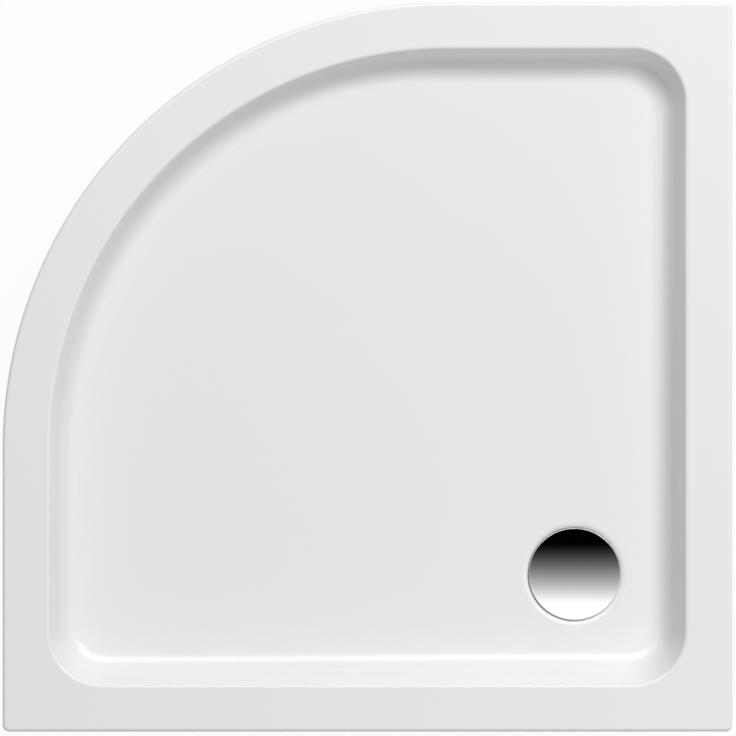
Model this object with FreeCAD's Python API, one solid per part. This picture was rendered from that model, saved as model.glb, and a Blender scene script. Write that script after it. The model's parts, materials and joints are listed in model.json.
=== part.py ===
import FreeCAD, Part
import math
import os

# Quadrant shower tray: a formed acrylic sheet on a bonded board, adjustable legs and a trapped waste.
# Millimetres, +Z up. z = 0 is the room floor with every leg wound fully in, and the origin lies under
# the middle of the tray's square. The rounded front faces -X +Y and the room's corner is at +X -Y.

# Plan of the tray
tray_side = 900.0
front_radius = 550.0
rim_width = 54.0
drain_from_walls = 190.0

# Formed sheet
sheet = 4.0
bend_radius = 1.5
outer_corner_bend = 2.5
lip_height = 38.0
pan_depth = 51.0
pan_wall_slope = 70.0
pan_base_radius = 32.0
floor_corner_radius = 25.0
floor_slope = 0.7

# Drain recess pressed into the floor
recess_radius = 67.0
recess_depth = 7.0
recess_slope = 50.0
recess_edge_bend = 8.0
recess_base_radius = 3.0
drain_hole_radius = 45.0

# Layers under the sheet
glue_line = 0.5
laminate = 2.5
laminate_hole_margin = 6.0
board_thickness = 12.0
board_margin = 10.0
board_corner_radius = 30.0
board_hole_margin = 10.0

# Legs
leg_edge_margin = 52.0
leg_beside_drain = 150.0
front_leg_angles = (108.0, 162.0)
socket_height = 48.0
socket_flange_radius = 32.0
socket_flange_thickness = 4.0
socket_top_radius = 16.5
socket_foot_radius = 14.5
socket_roof = 3.0
socket_rib_count = 6
socket_rib_thickness = 2.5
socket_rib_drop = 26.0
socket_rib_inset = 2.0
leg_screw_count = 3
leg_screw_circle = 24.5
leg_screw_radius = 2.1
leg_screw_head_radius = 4.0
leg_screw_head_height = 2.4
leg_screw_bite = 8.0
leg_screw_tip = 3.0
stud_radius = 5.9
stud_chamfer = 1.2
stud_neck_radius = 4.6
stud_ball_radius = 7.0
collar_flats = 17.0
collar_height = 8.0
collar_lift = 2.5
nut_flats = 19.0
nut_height = 10.0
lock_nut_height = 6.0
pad_radius = 30.0
pad_edge_height = 4.0
pad_height = 17.0
pad_boss_radius = 12.0
pad_boss_taper = 1.5
pad_rib_count = 8
pad_rib_thickness = 2.4
pad_ball_cover = 3.0
sole_thickness = 3.0
sole_inset = 1.5
sole_groove_depth = 1.0
sole_groove_width = 3.0

# Waste: flange, trap and lift-out insert
trap_ground_gap = 9.0
trap_height = 96.0
trap_wall = 3.0
pot_radius = 52.0
pot_chamfer = 8.0
trap_flange_radius = 58.0
trap_flange_thickness = 5.0
neck_height = 9.0
ledge_thickness = 4.0
ledge_width = 5.8
body_seal_thickness = 3.0
flange_seal_thickness = 1.5
flange_radius = 54.0
flange_thickness = 1.5
flange_edge_bevel = 3.0
throat_radius = 41.0
throat_wall = 2.0
throat_depth = 23.0
insert_ring_height = 10.0
insert_ring_wall = 3.6
insert_wall = 2.0
insert_funnel_height = 9.0
dip_tube_radius = 26.0
dip_tube_gap = 6.0
insert_seal_section = 1.2
strainer_skirt = 4.0
strainer_plate = 1.6
strainer_wall = 1.8
strainer_hub_radius = 11.0
strainer_slot_width = 4.0
strainer_slot_count = 16
strainer_stem_radius = 4.0
strainer_stem_height = 8.0

# Cover
cover_radius = 57.5
cover_wall = 1.6
cover_edge_height = 3.6
cover_edge_round = 1.2
cover_crown = 3.0
cover_water_gap = 2.0
cover_boss_wall = 2.5
cover_leg_count = 4
cover_leg_circle = 46.0
cover_leg_radius = 3.0

# Swivelling outlet
outlet_drop = 45.0
outlet_radius = 20.0
outlet_wall = 2.0
outlet_length = 95.0
outlet_chamfer = 1.5
ball_radius = 25.0
ball_wall = 2.5
ball_from_trap = 80.0
ball_cup_margin = 1.8
outlet_seal_section = 2.0
port_wall = 3.2
port_past_ball = 4.0
union_wall = 4.2
union_skirt = 16.0
union_lip_reach = 8.3
union_lip_end = 14.0
union_flare = 2.0
union_grip_count = 14
union_grip_radius = 1.6

# Clearances
slide_gap = 0.3
thread_gap = 0.15
pocket_gap = 0.2
hole_gap = 0.1
seal_gap = 0.05

# Levels, stacked up from the room floor
trap_top = trap_ground_gap + trap_height
recess_floor = trap_top + body_seal_thickness + sheet
drain_floor = recess_floor + recess_depth
rim_top = drain_floor + pan_depth
laminate_bottom = drain_floor - sheet - glue_line - laminate
board_bottom = laminate_bottom - board_thickness
socket_bottom = board_bottom - socket_height
pad_top = sole_thickness + pad_height
ball_level = pad_top - pad_ball_cover - stud_ball_radius / 2
flange_top = recess_floor + flange_seal_thickness + flange_thickness
throat_bottom = flange_top - throat_depth
ledge_top = trap_top - trap_flange_thickness - neck_height
insert_bottom = ledge_top + slide_gap
insert_top = insert_bottom + insert_ring_height
strainer_bottom = insert_top + slide_gap
strainer_top = strainer_bottom + strainer_skirt
cover_edge_bottom = flange_top + cover_water_gap
cover_top = cover_edge_bottom + cover_edge_height + cover_crown
outlet_level = trap_top - outlet_drop

# Sizes that several pieces share
edge_radius = bend_radius + sheet
drain_x = tray_side / 2 - drain_from_walls
drain_y = drain_from_walls - tray_side / 2
throat_bore = throat_radius - throat_wall
neck_bore = throat_radius + slide_gap
insert_radius = throat_bore - slide_gap
bore_radius = outlet_radius - outlet_wall
cup_radius = ball_radius + ball_cup_margin
port_radius = cup_radius + port_wall
ball_depth = ball_radius + outlet_seal_section + slide_gap
seal_circle = cup_radius - outlet_seal_section - seal_gap
seal_back = math.sqrt(ball_depth ** 2 - seal_circle ** 2)
cup_bottom = ball_from_trap - seal_back - outlet_seal_section - seal_gap

UP = FreeCAD.Vector(0, 0, 1)
AXIS_START = FreeCAD.Vector(0, 0, 0)


def vector(x, y=0.0, z=0.0):
    return FreeCAD.Vector(x, y, z)


def on_circle(centre, radius, angle):
    turn = math.radians(angle)
    return centre + vector(radius * math.cos(turn), radius * math.sin(turn))


def joined(pieces):
    return pieces[0].multiFuse(pieces[1:]).removeSplitter()


def section(start, *steps):
    """Closed face in the XZ plane. A step is a point to run straight to, or an arc's (through, end)."""
    edges = []
    here = start
    for step in steps + (start,):
        is_arc = isinstance(step[0], tuple)
        target = step[1] if is_arc else step
        if is_arc:
            points = [vector(x, 0, z) for x, z in (here, step[0], target)]
            edges.append(Part.Arc(*points).toShape())
        elif math.dist(here, target) > 1e-6:
            edges.append(Part.makeLine(vector(here[0], 0, here[1]), vector(target[0], 0, target[1])))
        here = target
    return Part.Face(Part.Wire(edges))


def turned(start, *steps):
    """Solid of revolution about Z of a section given as (radius, height)."""
    return section(start, *steps).revolve(AXIS_START, UP, 360)


def ring(outer, inner, bottom, top):
    return turned((inner, bottom), (outer, bottom), (outer, top), (inner, top))


def disc(radius, bottom, top):
    return Part.makeCylinder(radius, top - bottom, vector(0, 0, bottom))


def hexagon(flats, bottom, top):
    corner = flats / math.sqrt(3)
    points = [on_circle(vector(0, 0, bottom), corner, 60 * side) for side in range(7)]
    return Part.Face(Part.makePolygon(points)).extrude(vector(0, 0, top - bottom))


def round_axis(shape, count, start=0.0):
    """Copies of a shape spaced evenly about Z."""
    return [shape.rotated(AXIS_START, UP, start + turn * 360 / count) for turn in range(count)]


def gusset(thickness, *corners):
    """Flat rib whose (radius, height) corners lie in the XZ plane, thickened to both sides."""
    face = section(*corners)
    face.translate(vector(0, -thickness / 2, 0))
    return face.extrude(vector(0, thickness, 0))


def dome_middle(radius, rise):
    """Point half-way along the arc of a dome, as (radius, drop from the top)."""
    sphere = (radius ** 2 + rise ** 2) / (2 * rise)
    turn = math.asin(radius / sphere) / 2
    return (sphere * math.sin(turn), sphere * (1 - math.cos(turn)))


def moved(shape, x, y):
    return shape.translated(vector(x, y, 0))


class Step:
    """Cross-section of a step pressed into the sheet: an edge bend, a sloping wall and a base bend.

    Points are (run, height): the run counts from the edge towards the low side, and the height
    from the high face of the sheet.
    """

    def __init__(self, depth, slope, edge, base):
        turn = math.radians(slope)
        self.slope = slope
        self.depth = depth
        self.edge = edge
        self.base = base
        wall_drop = depth - (edge + base) * (1 - math.cos(turn))
        self.run = (edge + base) * math.sin(turn) + wall_drop / math.tan(turn)

    def edge_point(self, below, share):
        turn = math.radians(self.slope * share)
        reach = self.edge - below
        return (reach * math.sin(turn), reach * math.cos(turn) - self.edge)

    def base_point(self, below, share):
        turn = math.radians(self.slope * share)
        reach = self.base + below
        return (self.run - reach * math.sin(turn), self.base - self.depth - reach * math.cos(turn))

    def face_point(self, below, drop):
        """Point of the wall's face at a drop under the high face."""
        run, height = self.edge_point(below, 1)
        return (run + (drop + height) / math.tan(math.radians(self.slope)), -drop)

    def sheet_section(self, thickness, flat):
        """The whole step, with a level flat added on the low side."""
        end = self.run + flat
        return section(
            self.edge_point(0, 0),
            (self.edge_point(0, 0.5), self.edge_point(0, 1)),
            self.base_point(0, 1),
            (self.base_point(0, 0.5), self.base_point(0, 0)),
            (end, -self.depth),
            (end, -self.depth - thickness),
            self.base_point(thickness, 0),
            (self.base_point(thickness, 0.5), self.base_point(thickness, 1)),
            self.edge_point(thickness, 1),
            (self.edge_point(thickness, 0.5), self.edge_point(thickness, 0)),
        )

    def edge_section(self, thickness, drop):
        """The edge bend and the wall, cut level at a drop under the high face."""
        return section(
            self.edge_point(0, 0),
            (self.edge_point(0, 0.5), self.edge_point(0, 1)),
            self.face_point(0, drop),
            self.face_point(thickness, drop),
            self.edge_point(thickness, 1),
            (self.edge_point(thickness, 0.5), self.edge_point(thickness, 0)),
        )

    def backing_section(self, below, thickness, drop):
        """A layer under the wall, from the end of the edge bend to a level cut."""
        under = below + thickness
        return section(
            self.edge_point(below, 1),
            self.face_point(below, drop),
            self.face_point(under, drop),
            self.edge_point(under, 1),
        )


pan_step = Step(pan_depth, pan_wall_slope, edge_radius, pan_base_radius)
recess_step = Step(recess_depth, recess_slope, recess_edge_bend + sheet, recess_base_radius)
floor_inset = rim_width + pan_step.run
pan_corner_radius = floor_corner_radius + pan_step.run
outer_corner_radius = outer_corner_bend + edge_radius
wall_cut = 2 * edge_radius
drain = vector(drain_x, drain_y)


def plan_runs(inset, corner):
    """The tray's plan set in by inset, anticlockwise: (edge, heading, centre of an arc or None)."""
    half = tray_side / 2 - inset
    front = front_radius - inset
    rounds = (
        (vector(half - corner, corner - half), corner, -90),
        (vector(half - corner, half - corner), corner, 0),
        (vector(front - half, half - front), front, 90),
        (vector(corner - half, corner - half), corner, 180),
    )
    runs = []
    last_centre, last_radius, last_start = rounds[-1]
    here = on_circle(last_centre, last_radius, last_start + 90)
    for centre, radius, start in rounds:
        begin = on_circle(centre, radius, start)
        middle = on_circle(centre, radius, start + 45)
        end = on_circle(centre, radius, start + 90)
        runs.append((Part.makeLine(here, begin), start + 90, None))
        runs.append((Part.Arc(begin, middle, end).toShape(), start + 90, centre))
        here = end
    return runs


def plan_prism(inset, corner, bottom, top):
    wire = Part.Wire([edge for edge, heading, centre in plan_runs(inset, corner)])
    wire.translate(vector(0, 0, bottom))
    return Part.Face(wire).extrude(vector(0, 0, top - bottom))


def run_round(profile, inset, corner, level):
    """A cross-section, drawn inwards from the edge, carried round the tray's plan."""
    pieces = []
    for edge, heading, centre in plan_runs(inset, corner):
        start, end = (vertex.Point for vertex in edge.Vertexes)
        face = profile.rotated(AXIS_START, UP, heading + 90).translated(start)
        if centre is None:
            pieces.append(face.extrude(end - start))
        else:
            pieces.append(face.revolve(centre, UP, 90))
    return joined(pieces).translated(vector(0, 0, level))


def above_floor(below):
    """Space over the floor, which is level at the drain and falls to it from every side."""
    reach = 2 * tray_side
    low = drain_floor - below
    high = low + reach
    rise = (reach - recess_radius) * math.tan(math.radians(floor_slope))
    space = turned((0, low), (recess_radius, low), (reach, low + rise), (reach, high), (0, high))
    return moved(space, drain_x, drain_y)


def pan_hollow(below):
    """The pan under the wall's level cut, grown by below: sloping walls, falling floor, rounded base."""
    deep = pan_depth + pan_base_radius
    top_run = pan_step.face_point(below, wall_cut)[0]
    spread = pan_step.face_point(below, deep)[0] - top_run
    inset = rim_width + top_run
    corner = pan_corner_radius - top_run
    wedge = section((0, -wall_cut), (spread, -wall_cut), (spread, -deep))
    sides = run_round(wedge, inset, corner, rim_top)
    core = plan_prism(inset + spread, corner - spread, rim_top - deep, rim_top - wall_cut)
    hollow = joined([sides, core]).common(above_floor(below)).removeSplitter()
    cones = [face for face in hollow.Faces if isinstance(face.Surface, Part.Cone)]
    floor = max(cones, key=lambda face: face.Area)
    base_edges = [edge for edge in floor.OuterWire.Edges if not edge.isSeam(floor)]
    return hollow.makeFillet(pan_base_radius + below, base_edges)


def lip_section():
    """Turned-down edge of the sheet: the bend and the upright lip."""
    half_turn = math.sin(math.radians(45))
    bend_middle = edge_radius * (1 - half_turn)
    inner_middle = edge_radius - bend_radius * half_turn
    return section(
        (edge_radius, 0),
        ((bend_middle, -bend_middle), (0, -edge_radius)),
        (0, -lip_height),
        (sheet, -lip_height),
        (sheet, -edge_radius),
        ((inner_middle, -inner_middle), (edge_radius, -sheet)),
    )


def tray_shell():
    lip = run_round(lip_section(), 0, outer_corner_radius, rim_top)
    rim = plan_prism(edge_radius, outer_corner_bend, rim_top - sheet, rim_top)
    rim = rim.cut(plan_prism(rim_width, pan_corner_radius, rim_top - sheet, rim_top))
    wall = run_round(pan_step.edge_section(sheet, wall_cut), rim_width, pan_corner_radius, rim_top)
    recess_hole = moved(disc(recess_radius, 0, rim_top), drain_x, drain_y)
    pan = pan_hollow(sheet).cut([pan_hollow(0), recess_hole])
    ledge = recess_radius - recess_step.run - drain_hole_radius
    recess = recess_step.sheet_section(sheet, ledge).revolve(vector(recess_radius), UP, 360)
    recess.translate(drain + vector(-recess_radius, 0, drain_floor))
    return joined([lip, rim, wall, pan, recess])


def backing_laminate():
    """Glass-fibre resin bonded under the pan, levelled to a flat face for the board."""
    below = sheet + glue_line
    section_round = pan_step.backing_section(below, laminate, wall_cut)
    wall = run_round(section_round, rim_width, pan_corner_radius, rim_top)
    under_sheet = pan_hollow(below)
    skin = pan_hollow(below + laminate).cut(under_sheet)
    bed = plan_prism(floor_inset, floor_corner_radius, laminate_bottom, drain_floor + pan_base_radius)
    bed = bed.cut(under_sheet)
    hole = disc(recess_radius + laminate_hole_margin, 0, rim_top)
    return joined([wall, skin, bed]).cut(moved(hole, drain_x, drain_y))


def base_board():
    board = plan_prism(floor_inset + board_margin, board_corner_radius, board_bottom, laminate_bottom)
    drain_hole = disc(recess_radius + board_hole_margin, board_bottom, laminate_bottom)
    pilot = disc(leg_screw_radius + hole_gap, board_bottom, board_bottom + leg_screw_bite + hole_gap)
    pilots = [moved(pilot.translated(spot), x, y) for x, y in leg_places for spot in screw_spots()]
    return board.cut([moved(drain_hole, drain_x, drain_y)] + pilots)


def leg_layout():
    """Legs at the back corners, on both sides of the drain, along the rounded front and in the middle."""
    reach = tray_side / 2 - floor_inset - leg_edge_margin
    front_reach = front_radius - floor_inset - leg_edge_margin
    front_centre = vector(front_radius - tray_side / 2, tray_side / 2 - front_radius)
    places = [(0.0, 0.0), (-reach, -reach), (reach, reach)]
    places += [(drain_x - leg_beside_drain, -reach), (reach, drain_y + leg_beside_drain)]
    for angle in front_leg_angles:
        spot = on_circle(front_centre, front_reach, angle)
        places.append((spot.x, spot.y))
    return places


def screw_spots():
    step = 360 / leg_screw_count
    return [on_circle(AXIS_START, leg_screw_circle, step * number) for number in range(leg_screw_count)]


def leg_socket():
    """Moulded socket under the board, with ribs, a blind bore and a pocket for the captive nut."""
    flange_bottom = board_bottom - socket_flange_thickness
    flange = disc(socket_flange_radius, flange_bottom, board_bottom)
    tube_height = flange_bottom - socket_bottom
    tube = Part.makeCone(socket_foot_radius, socket_top_radius, tube_height, vector(0, 0, socket_bottom))
    rib = gusset(
        socket_rib_thickness,
        (stud_radius, flange_bottom),
        (socket_flange_radius - socket_rib_inset, flange_bottom),
        (socket_foot_radius, flange_bottom - socket_rib_drop),
        (stud_radius, flange_bottom - socket_rib_drop),
    )
    ribs = round_axis(rib, socket_rib_count, 180 / socket_rib_count)
    bore = disc(stud_radius + slide_gap, socket_bottom, board_bottom - socket_roof)
    pocket = hexagon(nut_flats + 2 * pocket_gap, socket_bottom, socket_bottom + nut_height + pocket_gap)
    hole = disc(leg_screw_radius + hole_gap, flange_bottom, board_bottom)
    holes = [hole.translated(spot) for spot in screw_spots()]
    return joined([flange, tube] + ribs).cut([bore, pocket] + holes)


def nut(bottom, height):
    blank = hexagon(nut_flats, bottom, bottom + height)
    return blank.cut(disc(stud_radius + thread_gap, bottom, bottom + height))


def leg_screw():
    """Wood screw: head under the socket's flange, shank through it and a tapered tip in the board."""
    head_top = board_bottom - socket_flange_thickness
    tip = board_bottom + leg_screw_bite
    return turned(
        (0, head_top - leg_screw_head_height),
        (leg_screw_head_radius / 2, head_top - leg_screw_head_height),
        (leg_screw_head_radius, head_top - leg_screw_head_height / 2),
        (leg_screw_head_radius, head_top),
        (leg_screw_radius, head_top),
        (leg_screw_radius, tip - leg_screw_tip),
        (0, tip),
    )


def leg_stud():
    """Threaded stud with a ball end in the pad and a hexagon to turn it by."""
    top = board_bottom - socket_roof - slide_gap
    collar_bottom = pad_top + collar_lift
    neck = disc(stud_neck_radius, ball_level, collar_bottom)
    shank = turned(
        (0, collar_bottom),
        (stud_radius, collar_bottom),
        (stud_radius, top - stud_chamfer),
        (stud_radius - stud_chamfer, top),
        (0, top),
    )
    ball = Part.makeSphere(stud_ball_radius, vector(0, 0, ball_level))
    collar = hexagon(collar_flats, collar_bottom, collar_bottom + collar_height)
    return joined([ball, neck, shank, collar])


def foot_pad():
    """Moulded pad: a rimmed plate and a tapered boss, with ribs, round the ball of the stud."""
    edge_top = sole_thickness + pad_edge_height
    boss_top_radius = pad_boss_radius - pad_boss_taper
    body = turned(
        (0, sole_thickness),
        (pad_radius, sole_thickness),
        (pad_radius, edge_top),
        (pad_boss_radius, edge_top),
        (boss_top_radius, pad_top),
        (0, pad_top),
    )
    rib_top = (edge_top + pad_top) / 2
    rib = gusset(
        pad_rib_thickness,
        (stud_ball_radius + 2 * slide_gap, sole_thickness),
        (pad_radius - sole_inset, sole_thickness),
        (pad_radius - sole_inset, edge_top),
        (boss_top_radius, rib_top),
        (stud_ball_radius + 2 * slide_gap, rib_top),
    )
    socket = Part.makeSphere(stud_ball_radius + slide_gap, vector(0, 0, ball_level))
    mouth = disc(stud_neck_radius + pad_boss_taper, ball_level, pad_top)
    return joined([body] + round_axis(rib, pad_rib_count)).cut([socket, mouth])


def foot_sole():
    """Rubber disc with a ring groove in its tread."""
    radius = pad_radius - sole_inset
    groove_start = (radius - sole_groove_width) / 2
    blank = disc(radius, 0, sole_thickness)
    return blank.cut(ring(groove_start + sole_groove_width, groove_start, 0, sole_groove_depth))


def waste_flange():
    """Pressed ring in the recess, with a threaded throat that draws the trap up under the floor."""
    flange_bottom = flange_top - flange_thickness
    return turned(
        (throat_bore, throat_bottom),
        (throat_radius, throat_bottom),
        (throat_radius, flange_bottom),
        (flange_radius, flange_bottom),
        (flange_radius, flange_bottom + flange_thickness / 2),
        (flange_radius - flange_edge_bevel, flange_top),
        (throat_bore, flange_top),
    )


def flange_seal():
    inner = drain_hole_radius + slide_gap
    return ring(flange_radius - flange_edge_bevel, inner, recess_floor, recess_floor + flange_seal_thickness)


def body_seal():
    return ring(trap_flange_radius - trap_wall, drain_hole_radius, trap_top, trap_top + body_seal_thickness)


def along_outlet(shape):
    """Turns a shape made about Z so that it points along the outlet, at the outlet's level."""
    return shape.rotated(AXIS_START, vector(0, 1, 0), 90).translated(vector(0, 0, outlet_level))


def trap_body():
    """Pot with a water space, a ledge for the insert, a threaded neck and a cup for the outlet's ball."""
    neck_radius = neck_bore + trap_wall
    flange_bottom = trap_top - trap_flange_thickness
    pot_top = ledge_top - ledge_thickness + trap_wall
    outside = turned(
        (0, trap_ground_gap),
        (pot_radius - pot_chamfer, trap_ground_gap),
        (pot_radius, trap_ground_gap + pot_chamfer),
        (pot_radius, pot_top),
        (neck_radius, ledge_top),
        (neck_radius, flange_bottom),
        (trap_flange_radius, flange_bottom),
        (trap_flange_radius, trap_top),
        (0, trap_top),
    )
    water_radius = pot_radius - trap_wall
    water_bottom = trap_ground_gap + trap_wall
    inside = turned(
        (0, water_bottom),
        (water_radius - pot_chamfer, water_bottom),
        (water_radius, water_bottom + pot_chamfer),
        (water_radius, ledge_top - ledge_thickness),
        (neck_bore - ledge_width, ledge_top - ledge_thickness),
        (neck_bore - ledge_width, ledge_top),
        (neck_bore, ledge_top),
        (neck_bore, trap_top),
        (0, trap_top),
    )
    port_start = pot_radius - pot_chamfer
    port = along_outlet(disc(port_radius, port_start, ball_from_trap + port_past_ball))
    cup = along_outlet(disc(cup_radius, cup_bottom, ball_from_trap + port_past_ball))
    relief = along_outlet(Part.makeSphere(cup_radius, vector(0, 0, ball_from_trap)))
    passage = along_outlet(disc(bore_radius, 0, cup_bottom))
    return joined([outside, port]).cut([inside, cup, relief, passage])


def trap_insert():
    """Lift-out funnel and dip tube that holds back the air of the drain."""
    dip_bottom = trap_ground_gap + trap_wall + dip_tube_gap
    ring_bore = insert_radius - insert_ring_wall
    funnel_bottom = insert_bottom - insert_funnel_height
    funnel_top = insert_bottom + insert_wall
    seat_radius = neck_bore - ledge_width - slide_gap
    body = turned(
        (dip_tube_radius - insert_wall, dip_bottom),
        (dip_tube_radius, dip_bottom),
        (dip_tube_radius, funnel_bottom),
        (seat_radius, insert_bottom),
        (insert_radius, insert_bottom),
        (insert_radius, insert_top),
        (ring_bore, insert_top),
        (ring_bore, funnel_top),
        (dip_tube_radius - insert_wall, funnel_bottom),
    )
    return body.cut(seal_ring(insert_seal_section + seal_gap))


def seal_ring(section_radius):
    """Round ring part-way up the insert, sunk so that it just clears the throat's bore."""
    level = (insert_bottom + insert_top) / 2
    return Part.makeTorus(throat_bore - insert_seal_section - hole_gap, section_radius, vector(0, 0, level))


def drain_strainer():
    """Slotted dish on the insert, with a stem that locates the cover."""
    bowl = turned(
        (insert_radius - strainer_wall, strainer_bottom),
        (insert_radius, strainer_bottom),
        (insert_radius, strainer_top),
        (0, strainer_top),
        (0, strainer_top - strainer_plate),
        (insert_radius - strainer_wall, strainer_top - strainer_plate),
    )
    stem = disc(strainer_stem_radius, strainer_top, strainer_top + strainer_stem_height)
    slot_end = insert_radius - 2 * strainer_wall - strainer_slot_width / 2
    slot_start = strainer_hub_radius + strainer_slot_width / 2
    slot = Part.makeBox(
        slot_end - slot_start,
        strainer_slot_width,
        strainer_plate,
        vector(slot_start, -strainer_slot_width / 2, strainer_top - strainer_plate),
    )
    rounded = disc(strainer_slot_width / 2, strainer_top - strainer_plate, strainer_top)
    slot = joined([slot, moved(rounded, slot_end, 0)])
    return joined([bowl, stem]).cut(round_axis(slot, strainer_slot_count))


def drain_cover():
    """Domed disc with a rounded, turned-down edge, a boss on the strainer's stem and legs on the flange."""
    edge_top = cover_edge_bottom + cover_edge_height
    rim = cover_radius - cover_edge_round
    inner = cover_radius - cover_wall
    under_top = cover_top - cover_wall
    edge_turn = cover_edge_round * math.sin(math.radians(45))
    skirt_top = edge_top - cover_edge_round
    outer_middle, outer_drop = dome_middle(rim, cover_crown)
    inner_middle, inner_drop = dome_middle(inner, cover_crown)
    dome = turned(
        (0, cover_top),
        ((outer_middle, cover_top - outer_drop), (rim, edge_top)),
        ((rim + edge_turn, skirt_top + edge_turn), (cover_radius, skirt_top)),
        (cover_radius, cover_edge_bottom),
        (inner, cover_edge_bottom),
        (inner, edge_top - cover_wall),
        ((inner_middle, under_top - inner_drop), (0, under_top)),
    )
    stem_bore = strainer_stem_radius + slide_gap
    boss = ring(stem_bore + cover_boss_wall, stem_bore, strainer_top + slide_gap, under_top + cover_wall / 2)
    leg = disc(cover_leg_radius, flange_top + slide_gap, edge_top)
    legs = round_axis(moved(leg, cover_leg_circle, 0), cover_leg_count)
    return joined([dome, boss] + legs)


def outlet_spigot():
    """Hollow ball and pipe end, which swivels in the trap's cup."""
    pipe_end = ball_from_trap + outlet_length
    ball = Part.makeSphere(ball_radius, vector(0, 0, ball_from_trap))
    hollow = Part.makeSphere(ball_radius - ball_wall, vector(0, 0, ball_from_trap))
    pipe = turned(
        (0, ball_from_trap),
        (outlet_radius, ball_from_trap),
        (outlet_radius, pipe_end - outlet_chamfer),
        (outlet_radius - outlet_chamfer, pipe_end),
        (0, pipe_end),
    )
    bore = disc(bore_radius, ball_from_trap - ball_radius, pipe_end)
    return along_outlet(joined([ball, pipe]).cut([hollow, bore]))


def outlet_seal():
    level = cup_bottom + outlet_seal_section + seal_gap
    return along_outlet(Part.makeTorus(seal_circle, outlet_seal_section, vector(0, 0, level)))


def outlet_union():
    """Union nut on the trap's cup, whose lip holds the ball and flares to let the pipe swing."""
    seat = ball_radius + slide_gap
    port_end = port_past_ball + slide_gap
    seat_middle = (port_end + union_lip_reach) / 2
    seat_points = []
    for reach in (port_end, seat_middle, union_lip_reach):
        seat_points.append((math.sqrt(seat ** 2 - reach ** 2), ball_from_trap + reach))
    bore = port_radius + thread_gap
    outer = bore + union_wall
    skirt_end = ball_from_trap + port_end - union_skirt
    body = turned(
        (bore, skirt_end),
        (outer, skirt_end),
        (outer, ball_from_trap + union_lip_reach),
        (outer - union_wall, ball_from_trap + union_lip_end),
        (seat_points[2][0] + union_flare, ball_from_trap + union_lip_end),
        seat_points[2],
        (seat_points[1], seat_points[0]),
        (bore, ball_from_trap + port_end),
    )
    grip = disc(union_grip_radius, skirt_end, ball_from_trap + union_lip_reach)
    grips = round_axis(moved(grip, outer, 0), union_grip_count)
    return along_outlet(joined([body] + grips))


def save(shape, node):
    shape.exportStep(os.path.join("parts", node + ".step"))


leg_places = leg_layout()
os.makedirs("parts", exist_ok=True)

save(tray_shell(), "tray_shell")
save(backing_laminate(), "backing_laminate")
save(base_board(), "base_board")

# Each leg is made once on the Z axis and copied to its place
leg_pieces = {
    "leg_socket": leg_socket(),
    "leg_stud": leg_stud(),
    "foot_pad": foot_pad(),
    "foot_sole": foot_sole(),
}
for number, (x, y) in enumerate(leg_places, start=1):
    for name, shape in leg_pieces.items():
        save(moved(shape, x, y), f"{name}_{number}")

captive_nut = nut(socket_bottom, nut_height)
lock_nut = nut(socket_bottom - lock_nut_height, lock_nut_height)
screws = [leg_screw().translated(spot) for spot in screw_spots()]
leg_fasteners = {"leg_nuts": [captive_nut], "leg_lock_nuts": [lock_nut], "leg_screws": screws}
for name, shapes in leg_fasteners.items():
    save(Part.makeCompound([moved(shape, x, y) for x, y in leg_places for shape in shapes]), name)

# The waste is made on the Z axis and moved to the drain
waste_pieces = {
    "drain_cover": drain_cover(),
    "drain_strainer": drain_strainer(),
    "waste_flange": waste_flange(),
    "flange_seal": flange_seal(),
    "body_seal": body_seal(),
    "trap_body": trap_body(),
    "trap_insert": trap_insert(),
    "insert_seal": seal_ring(insert_seal_section),
    "outlet_spigot": outlet_spigot(),
    "outlet_seal": outlet_seal(),
    "outlet_union": outlet_union(),
}
for name, shape in waste_pieces.items():
    save(moved(shape, drain_x, drain_y), name)
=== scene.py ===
import json
import math

import bmesh
import bpy
from bpy.props import FloatProperty, FloatVectorProperty, IntProperty, PointerProperty
from mathutils import Matrix, Vector

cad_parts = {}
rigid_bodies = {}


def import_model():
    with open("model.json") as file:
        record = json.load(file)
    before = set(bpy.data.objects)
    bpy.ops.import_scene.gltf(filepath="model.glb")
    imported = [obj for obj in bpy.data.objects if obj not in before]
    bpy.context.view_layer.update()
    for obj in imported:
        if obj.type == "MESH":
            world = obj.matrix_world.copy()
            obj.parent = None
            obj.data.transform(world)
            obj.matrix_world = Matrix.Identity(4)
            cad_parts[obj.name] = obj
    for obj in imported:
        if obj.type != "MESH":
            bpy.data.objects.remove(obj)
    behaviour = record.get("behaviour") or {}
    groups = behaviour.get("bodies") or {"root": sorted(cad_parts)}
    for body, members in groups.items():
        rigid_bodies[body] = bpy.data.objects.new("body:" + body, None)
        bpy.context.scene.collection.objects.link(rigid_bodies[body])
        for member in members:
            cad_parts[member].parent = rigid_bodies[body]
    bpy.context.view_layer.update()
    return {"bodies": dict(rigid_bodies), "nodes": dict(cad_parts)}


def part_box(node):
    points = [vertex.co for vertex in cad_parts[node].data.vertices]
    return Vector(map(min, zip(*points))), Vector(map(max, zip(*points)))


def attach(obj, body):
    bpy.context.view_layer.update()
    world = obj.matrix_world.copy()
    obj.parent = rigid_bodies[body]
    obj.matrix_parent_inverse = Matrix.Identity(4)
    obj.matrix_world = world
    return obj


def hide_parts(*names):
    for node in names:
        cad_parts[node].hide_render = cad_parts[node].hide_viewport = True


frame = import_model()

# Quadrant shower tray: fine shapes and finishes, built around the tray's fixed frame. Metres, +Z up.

bl_info = {
    "name": "Quadrant shower tray",
    "version": (1, 0, 0),
    "blender": (4, 5, 0),
    "location": "View3D > Sidebar > Shower tray",
    "description": "Models the shell, the cover and the fasteners, and sets the finishes and the stage",
    "category": "Object",
}

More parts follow.
